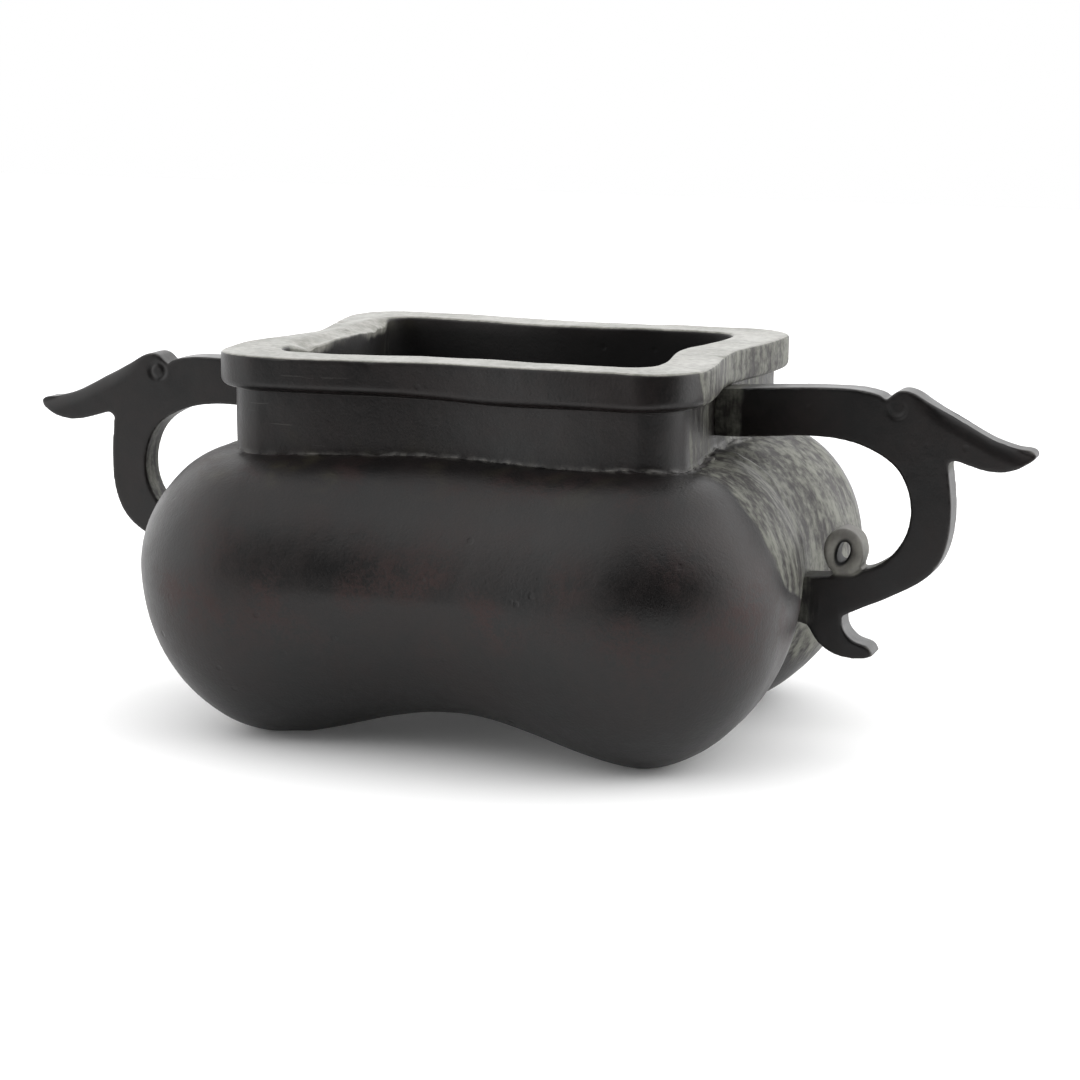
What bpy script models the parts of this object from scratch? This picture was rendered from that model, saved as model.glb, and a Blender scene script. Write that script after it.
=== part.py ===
"""Bronze censer: a four-lobed vessel with a flat lip, and two plate handles shaped as trunked heads.

The vessel is one hollow casting on the undersides of its four lobes. Its plan is a rounded rectangle,
pressed in at the middle of each side, and the belly swells out from it round four corner centres.
X runs from handle to handle, Y across, Z up, and the origin is on the ground under the middle.
"""

import math

import bmesh
import bpy
from mathutils import Vector

MM = 0.001

# Heights above the ground
LIP_TOP = 83.1 * MM
LIP_HEIGHT = 7.9 * MM
NECK_FOOT = 61.9 * MM
BELLY_HEIGHT = 36.2 * MM
FLOOR_THICKNESS = 5.0 * MM

# Plan of the neck, and how far the lip stands out from it
NECK_HALF_LENGTH = 50.1 * MM
NECK_HALF_WIDTH = 41.2 * MM
NECK_CORNER = 8.8 * MM
LIP_OVERHANG = 3.2 * MM
LIP_EDGE = 0.7 * MM

# Plan of the mouth
MOUTH_HALF_LENGTH = 41.6 * MM
MOUTH_HALF_WIDTH = 33.8 * MM
MOUTH_CORNER = 6.0 * MM
MOUTH_EDGE = 0.6 * MM

# The belly's roundness: its greatest outset from the neck, and where the lobes touch the ground
BELLY_OUTSET = 20.8 * MM
FOOT_REACH = -2.8 * MM
SHOULDER_ROUNDNESS = 1.92
UNDERSIDE_ROUNDNESS = 1.97
FOOT_PAD = 4.5 * MM
WALL = 4.2 * MM

# Depth of the press at the middle of each side, on the long sides and on the short ones
LIP_DENTS = (3.4 * MM, 3.4 * MM)
NECK_DENTS = (3.2 * MM, 3.2 * MM)
BELLY_DENTS = (2.6 * MM, 3.7 * MM)
UNDER_DENTS = (7.8 * MM, 6.8 * MM)
CROSSING_DEPTH = 6.0 * MM

# How sharply a press falls off along the long and the short sides
RIM_SHARPNESS = (2.6, 2.4)
BODY_SHARPNESS = (1.65, 4.9)

# Fineness of the vessel's mesh
CORNER_STEPS = 6
LONG_STEPS = 14
SHORT_STEPS = 10
SHOULDER_STEPS = 7
UNDERSIDE_STEPS = 8
INNER_STEPS = 5
UNDER_RINGS = (0.88, 0.72, 0.5, 0.26)

# The handles: plates cut to one outline, with softened edges
HANDLE_THICKNESS = 7.0 * MM
HANDLE_EDGE = 0.9 * MM
OUTLINE_STEP = 2.0 * MM
JOINT_GAP = 0.3 * MM
EYE_CENTRE = (86.3, 73.0)
EYE_RADIUS = 1.8 * MM
EYE_GROOVE = 0.35 * MM
CURL_HOLE = (75.8, 42.0)
CURL_HOLE_RADIUS = 1.3 * MM
ROUND_STEPS = 14

# Outline of a handle in millimetres along X and Z, as smooth runs between sharp corners. It runs
# counter-clockwise from the bar's underside round the loop's inside, the curl, the root and the hook.
HANDLE_RUNS = (
    ((40.0, 64.8), (53.8, 65.2), (66.0, 66.2), (74.4, 65.9), (80.5, 64.3), (85.8, 61.2),
     (88.7, 56.9), (89.8, 51.5), (88.9, 46.4), (85.9, 41.8), (82.0, 39.0), (79.2, 38.2)),
    ((79.2, 38.2), (80.0, 41.6), (79.0, 45.2), (76.0, 46.9), (72.7, 45.7), (71.4, 42.2),
     (72.4, 38.6), (74.2, 36.6)),
    ((74.2, 36.6), (69.0, 36.2), (60.0, 35.8)),
    ((60.0, 35.8), (60.0, 26.2)),
    ((60.0, 26.2), (66.0, 26.2), (68.4, 25.6)),
    ((68.4, 25.6), (70.6, 22.2), (73.6, 20.0), (77.2, 19.1), (80.6, 19.2), (82.9, 20.0)),
    ((82.9, 20.0), (81.6, 21.8), (78.4, 22.9), (76.3, 25.2), (75.8, 28.0)),
    ((75.8, 28.0), (80.4, 30.3), (86.0, 33.0), (92.4, 36.7), (96.0, 40.6), (97.9, 46.2),
     (98.3, 53.5), (97.3, 62.1)),
    ((97.3, 62.1), (98.8, 62.9), (102.0, 62.0), (105.1, 61.2), (108.3, 61.0), (111.3, 61.7),
     (113.3, 62.8), (115.4, 64.6)),
    ((115.4, 64.6), (113.4, 65.9), (111.0, 66.0), (106.0, 67.8), (99.6, 71.1), (93.2, 74.5),
     (89.4, 76.6), (86.4, 76.8), (83.8, 74.7)),
    ((83.8, 74.7), (82.0, 75.9), (76.2, 76.7), (65.5, 76.5), (52.5, 75.6), (40.0, 75.0)),
    ((40.0, 75.0), (40.0, 64.8)),
)

# The trunk is what lies outside its root and above the loop, in the outline's millimetres
TRUNK_ROOT = 92.0
TRUNK_TIP = 115.4
TRUNK_LEVEL = 60.9

# Where each handle sits: side of the vessel, shift outwards and up, and how far its trunk droops and
# reaches beyond the loop, in millimetres. The two were fitted by hand and differ a little.
HANDLES = {
    "handle_left": {"side": -1, "shift": (-1.5, -1.1), "trunk_reach": 1.5, "trunk_droop": 0.6},
    "handle_right": {"side": 1, "shift": (0.0, 0.0), "trunk_reach": 0.0, "trunk_droop": 0.0},
}


def clear_scene():
    """Start from an empty scene."""
    for item in list(bpy.data.objects):
        bpy.data.objects.remove(item, do_unlink=True)


def finish(name, colour, roughness):
    """A Principled material of this object's own."""
    made = bpy.data.materials.new(name)
    made.use_nodes = True
    shader = made.node_tree.nodes["Principled BSDF"]
    shader.inputs["Base Color"].default_value = (*colour, 1.0)
    shader.inputs["Roughness"].default_value = roughness
    shader.inputs["Metallic"].default_value = 0.85
    return made


def mix(low, high, share):
    """The value between low and high at a share from 0 to 1."""
    return low + (high - low) * share


def press(place, sharpness):
    """Share of a side's press at a place from -1 to 1 along it."""
    return max(0.0, math.cos(math.pi / 2 * min(1.0, abs(place)))) ** sharpness


def plan_points(half_length, half_width, corner):
    """Points of a rounded rectangle: x, y, way out, place along the side or None, is the side long."""
    centre = (half_length - corner, half_width - corner)
    points = []
    for quarter in range(4):
        middle = (quarter + 0.5) * math.pi / 2
        centre_x = math.copysign(centre[0], math.cos(middle))
        centre_y = math.copysign(centre[1], math.sin(middle))
        for step in range(CORNER_STEPS + 1):
            angle = math.pi / 2 * (quarter + step / CORNER_STEPS)
            out = Vector((math.cos(angle), math.sin(angle)))
            points.append((centre_x + corner * out.x, centre_y + corner * out.y, out, None, False))
        is_long = quarter % 2 == 0
        steps = LONG_STEPS if is_long else SHORT_STEPS
        reach = centre[0] if is_long else centre[1]
        half = half_width if is_long else half_length
        end = math.pi / 2 * (quarter + 1)
        out = Vector((round(math.cos(end)), round(math.sin(end))))
        along = Vector((-out.y, out.x))
        for step in range(1, steps):
            place = 1 - 2 * step / steps
            spot = out * half - along * reach * place
            points.append((spot.x, spot.y, out, place, is_long))
    return points


def ring(half_length, half_width, corner, height, dents, sharpness, facing=(1.0, 0.0)):
    """One closed row of the vessel, its sides pressed in against the way that the surface faces."""
    row = []
    for x, y, out, place, is_long in plan_points(half_length, half_width, corner):
        depth = 0.0
        if place is not None:
            which = 0 if is_long else 1
            depth = dents[which] * press(place, sharpness[which])
        moved = Vector((x, y)) - out * depth * facing[0]
        row.append(Vector((moved.x, moved.y, max(0.0, height - depth * facing[1]))))
    return row


def corner_centre():
    """The middle of the circle that the plan turns round at each corner."""
    return NECK_HALF_LENGTH - NECK_CORNER, NECK_HALF_WIDTH - NECK_CORNER


def body_dents(height):
    """Depth of the presses at a height on the body."""
    if height > BELLY_HEIGHT:
        share = min(1.0, (height - BELLY_HEIGHT) / (NECK_FOOT - BELLY_HEIGHT))
        return [mix(belly, neck, share) for belly, neck in zip(BELLY_DENTS, NECK_DENTS)]
    share = max(0.0, height / BELLY_HEIGHT)
    return [mix(under, belly, share) for under, belly in zip(UNDER_DENTS, BELLY_DENTS)]


def body_ring(reach, height, facing, thickness=0.0):
    """A row of the body at a reach from the corner centres, set in by a wall's thickness.

    Its presses run against the surface low down, and level with the ground close to the neck.
    """
    centre_x, centre_y = corner_centre()
    inner = reach - thickness * facing[0]
    level = height - thickness * facing[1]
    near_neck = max(0.0, (height - BELLY_HEIGHT) / (NECK_FOOT - BELLY_HEIGHT))
    pushed = (mix(facing[0], 1.0, near_neck), facing[1] * (1.0 - near_neck))
    return ring(centre_x + inner, centre_y + inner, inner, level, body_dents(height),
                BODY_SHARPNESS, pushed)


def oval_quarter(width, depth, roundness, turn):
    """A place on a rounded quarter, from its top (turn 0) to its side (1), and the way it faces."""
    angle = math.pi / 2 * turn
    across = math.sin(angle) ** (2 / roundness)
    down = math.cos(angle) ** (2 / roundness)
    facing = Vector((across ** (roundness - 1) / width, down ** (roundness - 1) / depth)).normalized()
    return width * across, depth * down, facing


def shoulder_rings(steps, thickness=0.0, first=0):
    """Rows from the neck out to the belly."""
    rows = []
    for step in range(first, steps + 1):
        out, up, facing = oval_quarter(BELLY_OUTSET, NECK_FOOT - BELLY_HEIGHT, SHOULDER_ROUNDNESS,
                                       step / steps)
        rows.append(body_ring(NECK_CORNER + out, BELLY_HEIGHT + up, facing, thickness))
    return rows


def underside_oval():
    """Width and depth of the underside's rounding, and its turn at the edge of a pad.

    It would end below the ground: the pads are where the ground cuts it off flat.
    """
    width = NECK_CORNER + BELLY_OUTSET - FOOT_REACH
    pad_share = ((FOOT_PAD - FOOT_REACH) / width) ** UNDERSIDE_ROUNDNESS
    depth = BELLY_HEIGHT / (1.0 - pad_share) ** (1 / UNDERSIDE_ROUNDNESS)
    return width, depth, math.asin(math.sqrt(pad_share)) / (math.pi / 2)


def underside_rings(steps, thickness=0.0):
    """Rows from below the belly in to the pads on which the lobes stand."""
    width, depth, pad_turn = underside_oval()
    rows = []
    for step in range(1, steps + 1):
        out, down, facing = oval_quarter(width, depth, UNDERSIDE_ROUNDNESS, mix(1.0, pad_turn, step / steps))
        height = 0.0 if step == steps else BELLY_HEIGHT - down
        rows.append(body_ring(FOOT_REACH + out, height, (facing[0], -facing[1]), thickness))
    return rows


def arch_height(x, y):
    """Height of the hollow under the body, a cross of two channels between the four pads."""
    centre_x, centre_y = corner_centre()
    long_share = press(x / centre_x, BODY_SHARPNESS[0])
    short_share = press(y / centre_y, BODY_SHARPNESS[1])
    return (UNDER_DENTS[0] * long_share + UNDER_DENTS[1] * short_share
            - CROSSING_DEPTH * long_share * short_share)


def closing_rings(edge_row, level):
    """Rows that run in from an edge row to the flat middle of the underside or of the floor."""
    edge = [(point.x, point.y) for point in edge_row]
    cut_off = underside_oval()[1] - BELLY_HEIGHT
    rows = []
    for size in UNDER_RINGS:
        slope = 0.0 if size == UNDER_RINGS[-1] else size
        heights = [max(0.0, arch_height(x * slope, y * slope) - cut_off) for x, y in edge]
        rows.append([Vector((x * size, y * size, level + rise)) for (x, y), rise in zip(edge, heights)])
    return rows


def lip_rings():
    """Rows over the lip, from its inner edge to the neck."""
    half_length = NECK_HALF_LENGTH + LIP_OVERHANG
    half_width = NECK_HALF_WIDTH + LIP_OVERHANG
    corner = NECK_CORNER + LIP_OVERHANG
    foot = LIP_TOP - LIP_HEIGHT

    def outer(inset, height):
        return ring(half_length - inset, half_width - inset, corner - inset, height, LIP_DENTS, RIM_SHARPNESS)

    def mouth(inset, height):
        return ring(MOUTH_HALF_LENGTH - inset, MOUTH_HALF_WIDTH - inset, MOUTH_CORNER - inset, height,
                    LIP_DENTS, RIM_SHARPNESS)

    return [
        mouth(0.0, LIP_TOP - MOUTH_EDGE),
        mouth(-MOUTH_EDGE, LIP_TOP),
        outer(LIP_EDGE, LIP_TOP),
        outer(0.0, LIP_TOP - LIP_EDGE),
        outer(0.0, foot + LIP_EDGE),
        outer(LIP_EDGE, foot),
        ring(NECK_HALF_LENGTH, NECK_HALF_WIDTH, NECK_CORNER, foot, NECK_DENTS, RIM_SHARPNESS),
        ring(NECK_HALF_LENGTH, NECK_HALF_WIDTH, NECK_CORNER, mix(NECK_FOOT, foot, 0.5), NECK_DENTS,
             RIM_SHARPNESS),
    ]


def loft(name, rows):
    """A closed body through rows of equal length, capped at both ends."""
    work = bmesh.new()
    loops = [[work.verts.new(point) for point in row] for row in rows]
    count = len(loops[0])
    for upper, lower in zip(loops, loops[1:]):
        for place in range(count):
            after = (place + 1) % count
            work.faces.new((upper[place], upper[after], lower[after], lower[place]))
    work.faces.new(loops[0])
    work.faces.new(list(reversed(loops[-1])))
    bmesh.ops.recalc_face_normals(work, faces=work.faces)
    return mesh_object(name, work)


def mesh_object(name, work):
    """Turn a working mesh into a smooth-shaded object."""
    mesh = bpy.data.meshes.new(name)
    work.to_mesh(mesh)
    work.free()
    mesh.shade_smooth()
    mesh.set_sharp_from_angle(angle=math.radians(35))
    made = bpy.data.objects.new(name, mesh)
    bpy.context.scene.collection.objects.link(made)
    return made


def outside_rings():
    """Rows of the whole outer surface, from the lip's foot to the middle of the underside."""
    under = underside_rings(UNDERSIDE_STEPS)
    return shoulder_rings(SHOULDER_STEPS) + under + closing_rings(under[-1], 0.0)


def inside_rings():
    """Rows of the hollow, from the middle of its floor up to the mouth."""
    neck = ring(MOUTH_HALF_LENGTH, MOUTH_HALF_WIDTH, MOUTH_CORNER, NECK_FOOT - WALL / 2, LIP_DENTS,
                RIM_SHARPNESS)
    under = underside_rings(INNER_STEPS, WALL)
    floor = closing_rings(under[-1], FLOOR_THICKNESS)
    down = [neck] + shoulder_rings(INNER_STEPS, WALL, first=1) + under + floor
    return list(reversed(down))


def make_vessel():
    """The bowl, its neck and its lip, hollow and open at the top."""
    vessel = loft("vessel", inside_rings() + lip_rings() + outside_rings())
    vessel.data.materials.append(finish("vessel_bronze", (0.045, 0.032, 0.028), 0.38))
    return vessel


def make_seat():
    """The vessel's outer form grown by the joint gap, which trims the handles' roots."""
    seat = loft("seat", lip_rings()[2:] + outside_rings())
    for vertex in seat.data.vertices:
        vertex.co += vertex.normal * JOINT_GAP
    return as_cutter(seat)


def as_cutter(item):
    """Mark an object that only trims others."""
    item.hide_render = True
    item.display_type = "WIRE"
    return item


def smooth_run(points):
    """Evenly spaced points on a smooth curve through the given ones, without its last point."""
    spots = [Vector(point) * MM for point in points]
    ends = [2 * spots[0] - spots[1]] + spots + [2 * spots[-1] - spots[-2]]
    made = []
    for before, start, end, after in zip(ends, ends[1:], ends[2:], ends[3:]):
        steps = max(1, round((end - start).length / OUTLINE_STEP))
        for step in range(steps):
            t = step / steps
            made.append(0.5 * (2 * start + (end - before) * t
                               + (2 * before - 5 * start + 4 * end - after) * t ** 2
                               + (3 * start - before - 3 * end + after) * t ** 3))
    return made


def inset(outline, distance):
    """The outline moved in by a distance, for outlines that run counter-clockwise."""
    moved = []
    for place, spot in enumerate(outline):
        before = (spot - outline[place - 1]).normalized()
        after = (outline[(place + 1) % len(outline)] - spot).normalized()
        inward = Vector((-before.y - after.y, before.x + after.x)).normalized()
        squeeze = max(0.6, inward.dot(Vector((-after.y, after.x))))
        moved.append(spot + inward * distance / squeeze)
    return moved


def placed(point, fit):
    """A point of the handle's pattern in millimetres, as fitted on one side of the vessel."""
    x, z = point
    along = max(0.0, (x - TRUNK_ROOT) / (TRUNK_TIP - TRUNK_ROOT)) if z > TRUNK_LEVEL else 0.0
    return (x + fit["shift"][0] + fit["trunk_reach"] * along,
            z + fit["shift"][1] - fit["trunk_droop"] * along)


def handle_plate(name, fit):
    """A plate cut to the handle's outline, with softened edges."""
    side = fit["side"]
    outline = []
    for run in HANDLE_RUNS:
        outline.extend(smooth_run([placed(point, fit) for point in run]))
    half = HANDLE_THICKNESS / 2
    narrow = inset(outline, HANDLE_EDGE)
    layers = ((-half, narrow), (HANDLE_EDGE - half, outline), (half - HANDLE_EDGE, outline), (half, narrow))
    rows = [[Vector((spot.x * side, y, spot.y)) for spot in shape] for y, shape in layers]
    return loft(name, rows)


def groove_cutter(centre, face_y, side):
    """A ring of square section, sunk half into a face."""
    centre_x, centre_z = centre
    profile = ((-EYE_GROOVE, -EYE_GROOVE), (EYE_GROOVE, -EYE_GROOVE), (EYE_GROOVE, EYE_GROOVE),
               (-EYE_GROOVE, EYE_GROOVE))
    work = bmesh.new()
    loops = []
    for step in range(ROUND_STEPS):
        angle = 2 * math.pi * step / ROUND_STEPS
        way = Vector((side * math.cos(angle), 0.0, math.sin(angle)))
        middle = Vector((side * centre_x, face_y, centre_z))
        loops.append([work.verts.new(middle + way * (EYE_RADIUS + wide) + Vector((0.0, deep, 0.0)))
                      for wide, deep in profile])
    for place, loop in enumerate(loops):
        after = loops[(place + 1) % ROUND_STEPS]
        for corner in range(len(profile)):
            further = (corner + 1) % len(profile)
            work.faces.new((loop[corner], loop[further], after[further], after[corner]))
    bmesh.ops.recalc_face_normals(work, faces=work.faces)
    return as_cutter(mesh_object("groove", work))


def hole_cutter(centre, side):
    """A round bar that pierces the curl."""
    centre_x, centre_z = centre
    rows = []
    for y in (-HANDLE_THICKNESS, HANDLE_THICKNESS):
        turns = [2 * math.pi * step / ROUND_STEPS for step in range(ROUND_STEPS)]
        rows.append([Vector((side * (centre_x + CURL_HOLE_RADIUS * math.cos(turn)), y,
                             centre_z + CURL_HOLE_RADIUS * math.sin(turn))) for turn in turns])
    return as_cutter(loft("curl_hole", rows))


def trim(item, cutter):
    """Cut one object with another."""
    cut = item.modifiers.new(cutter.name, "BOOLEAN")
    cut.operation = "DIFFERENCE"
    cut.object = cutter


def make_handle(name, fit, seat, material):
    """One handle, trimmed to the vessel, with its ringed eyes and pierced curl."""
    side = fit["side"]
    handle = handle_plate(name, fit)
    handle.data.materials.append(material)
    trim(handle, seat)
    eye = Vector(placed(EYE_CENTRE, fit)) * MM
    for face_y in (-HANDLE_THICKNESS / 2, HANDLE_THICKNESS / 2):
        trim(handle, groove_cutter(eye, face_y, side))
    trim(handle, hole_cutter(Vector(placed(CURL_HOLE, fit)) * MM, side))


def main():
    """Make the whole censer."""
    clear_scene()
    make_vessel()
    seat = make_seat()
    bronze = finish("handle_bronze", (0.022, 0.019, 0.018), 0.42)
    for name, fit in HANDLES.items():
        make_handle(name, fit, seat, bronze)


main()
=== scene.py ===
"""Looks of the bronze censer: a fine cast vessel and two filed plate handles, on a white stage."""

import math

import bmesh
import bpy
import numpy as np
from mathutils import Matrix, Vector, noise
from mathutils.geometry import tessellate_polygon


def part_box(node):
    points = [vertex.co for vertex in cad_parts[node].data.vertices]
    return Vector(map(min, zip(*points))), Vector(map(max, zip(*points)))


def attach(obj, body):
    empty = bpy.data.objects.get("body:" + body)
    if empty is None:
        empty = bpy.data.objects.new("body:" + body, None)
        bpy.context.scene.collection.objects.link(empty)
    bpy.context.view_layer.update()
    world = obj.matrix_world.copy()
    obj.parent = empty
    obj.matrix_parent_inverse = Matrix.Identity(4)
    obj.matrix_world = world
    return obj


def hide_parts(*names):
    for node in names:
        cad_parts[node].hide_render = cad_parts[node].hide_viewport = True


bl_info = {
    "name": "Bronze Censer",
    "version": (1, 0, 0),
    "blender": (4, 5, 0),
    "location": "3D View > Sidebar > Censer",
    "description": "Builds a four-lobed bronze censer with two plate handles, and the stage it stands on",
    "category": "Object",
}

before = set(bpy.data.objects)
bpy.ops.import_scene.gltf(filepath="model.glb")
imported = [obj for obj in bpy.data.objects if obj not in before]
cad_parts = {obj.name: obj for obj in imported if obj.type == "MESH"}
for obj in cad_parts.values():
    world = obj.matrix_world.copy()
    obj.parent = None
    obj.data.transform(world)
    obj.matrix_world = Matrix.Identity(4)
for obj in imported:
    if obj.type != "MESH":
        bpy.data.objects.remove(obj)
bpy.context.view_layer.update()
VESSEL_LOW, VESSEL_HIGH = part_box("vessel")
MM = 0.001

# Fineness of the vessel's mesh: steps round a corner, along a long side and along a short one
CORNER_STEPS = 24
LONG_STEPS = 112
SHORT_STEPS = 84

# Camera that sees the censer as the photograph does
CAMERA_PLACE = (0.2087, -0.5728, 0.1589)
CAMERA_AZIMUTH = 19.424
CAMERA_ELEVATION = 11.184
CAMERA_ROLL = 0.522
CAMERA_LENS = 93.63

# The tent's dark opening: its turn from the camera, and where its side and upper edges fade
OPENING_TURN = 8.0
OPENING_EDGE = (0.35, 0.72)
ROOF_EDGE = (0.52, 0.86)
ZENITH_EDGE = (0.60, 0.97)
RIGHT_EDGE = (0.15, 0.85)


def length(name, description, default):
    """A size in metres that a user may change."""
    return bpy.props.FloatProperty(name=name, description=description, default=default, unit="LENGTH",
                                   precision=5)


def colour(name, description, default):
    """A surface colour that a user may change."""
    return bpy.props.FloatVectorProperty(name=name, description=description, default=default,
                                         subtype="COLOR", size=3, min=0.0, max=1.0)


def amount(name, description, default):
    """A share or strength that a user may change."""
    return bpy.props.FloatProperty(name=name, description=description, default=default, min=0.0)


class CenserVessel(bpy.types.PropertyGroup):
    """Sizes of the vessel."""

    lip_height: length("Lip height", "Height of the flat lip's outer face", 7.9 * MM)
    lip_overhang: length("Lip overhang", "How far the lip stands out from the neck", 3.2 * MM)
    neck_foot: length("Neck foot", "Height of the line where the neck meets the body", 61.9 * MM)
    neck_corner: length("Neck corner", "Radius of the neck's corners", 8.8 * MM)
    belly_height: length("Belly height", "Height of the body's greatest width", 36.2 * MM)
    belly_outset: length("Belly outset", "How far the belly stands out from the neck", 20.8 * MM)
    mouth_half_length: length("Mouth half length", "Half the mouth's length", 41.6 * MM)
    mouth_half_width: length("Mouth half width", "Half the mouth's width", 33.8 * MM)
    wall: length("Wall", "Thickness of the body's wall", 4.2 * MM)
    floor_thickness: length("Floor thickness", "Thickness of the floor", 5.0 * MM)


class CenserHandles(bpy.types.PropertyGroup):
    """Sizes of the two handles."""

    thickness: length("Thickness", "Thickness of the plates", 7.0 * MM)
    mesh_step: length("Mesh step", "Size of the faces of the handles' meshes", 0.34 * MM)
    eye_radius: length("Eye radius", "Radius of the ring engraved for the eye", 1.75 * MM)
    eye_depth: length("Eye depth", "Depth of the ring engraved for the eye", 0.42 * MM)
    curl_rounding: length("Curl rounding", "How far the curl's faces fall to its edges", 1.5 * MM)
    trunk_rounding: length("Trunk rounding", "How far the trunk's faces fall to its back", 1.1 * MM)


class CenserFinish(bpy.types.PropertyGroup):
    """Colours of the patina."""

    brown: colour("Brown", "Dark brown of the body", (0.0080, 0.0048, 0.0044))
    red: colour("Red", "Reddish brown patches on the belly", (0.0200, 0.0062, 0.0050))
    # Black also paints shade: on the underside, under each handle's bar, inside the bowl and in the curl's hole.
    black: colour("Black", "Near-black of the handles and the underside", (0.0022, 0.0018, 0.0019))
    olive: colour("Olive", "Olive stain under the neck and in the bowl", (0.030, 0.026, 0.014))
    grey: colour("Grey", "Grey-green at the ends and on the lip", (0.135, 0.137, 0.113))
    worn: colour("Worn", "Light grey of the worn edges", (0.290, 0.280, 0.256))


class CenserStage(bpy.types.PropertyGroup):
    """The floor and the light."""

    floor: colour("Floor", "Colour of the floor", (0.97, 0.97, 0.97))
    light: amount("Light", "Strength of the light tent", 2.0)
    shade: amount("Shade", "Share of that light from the tent's open front", 0.0)
    zenith: amount("Zenith", "Share of that light from straight above", 0.62)
    right: amount("Right", "Share of that light from the right", 1.7)
    glow: amount("Glow", "Light given off by the floor itself", 0.05)


class CenserSettings(bpy.types.PropertyGroup):
    """Everything that a user may change."""

    vessel: bpy.props.PointerProperty(type=CenserVessel)
    handles: bpy.props.PointerProperty(type=CenserHandles)
    finish: bpy.props.PointerProperty(type=CenserFinish)
    stage: bpy.props.PointerProperty(type=CenserStage)


def mix(low, high, share):
    """The value between low and high at a share from 0 to 1."""
    return low + (high - low) * share


def smooth_step(low, high, value):
    """0 below low, 1 above high, and a smooth rise between."""
    share = np.clip((value - low) / (high - low), 0.0, 1.0)
    return share * share * (3.0 - 2.0 * share)


def bell(value, centre, width):
    """1 at the centre, falling off smoothly over a width."""
    return np.exp(-((value - centre) / width) ** 2)


def through(places, values, at):
    """A smooth curve through a few (place, value) pairs, read at many places."""
    places = np.asarray(places, float)
    values = np.asarray(values, float)
    slopes = np.gradient(values, places)
    at = np.clip(at, places[0], places[-1])
    which = np.clip(np.searchsorted(places, at) - 1, 0, len(places) - 2)
    wide = places[which + 1] - places[which]
    t = (at - places[which]) / wide
    return (values[which] * (2 * t ** 3 - 3 * t ** 2 + 1) + slopes[which] * wide * (t ** 3 - 2 * t ** 2 + t)
            + values[which + 1] * (3 * t ** 2 - 2 * t ** 3) + slopes[which + 1] * wide * (t ** 3 - t ** 2))


def waves(points, size, seed):
    """Soft noise between -1 and 1 at each point, with features of a size."""
    shift = Vector((seed * 7.31, seed * 3.77, seed * 5.13))
    return np.array([noise.noise(Vector(point) / size + shift) for point in points])


# Plan of the vessel: a rounded rectangle whose sides are pressed in at the middle


def plan_stations():
    """Where each point of the plan hangs: its share of the corner centre, its way out, and its side."""
    anchors, ways, sides = [], [], []
    for quarter in range(4):
        middle = (quarter + 0.5) * math.pi / 2
        corner = (math.copysign(1, math.cos(middle)), math.copysign(1, math.sin(middle)))
        for step in range(CORNER_STEPS + 1):
            angle = math.pi / 2 * (quarter + step / CORNER_STEPS)
            anchors.append(corner)
            ways.append((math.cos(angle), math.sin(angle)))
            sides.append((0.0, 0.0))
        end = math.pi / 2 * (quarter + 1)
        out = (round(math.cos(end)), round(math.sin(end)))
        is_long = out[0] == 0
        steps = LONG_STEPS if is_long else SHORT_STEPS
        for step in range(1, steps):
            place = 1 - 2 * step / steps
            anchors.append((out[0] + out[1] * place, out[1] - out[0] * place))
            ways.append(out)
            sides.append((1.0, 0.0) if is_long else (0.0, 1.0))
    return np.array(anchors), np.array(ways), np.array(sides)


ANCHORS, WAYS, SIDES = plan_stations()


def press(place, sharpness):
    """Share of a side's press at a place from -1 to 1 along it."""
    return np.maximum(0.0, np.cos(np.pi / 2 * np.clip(np.abs(place), 0.0, 1.0))) ** sharpness


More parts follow.
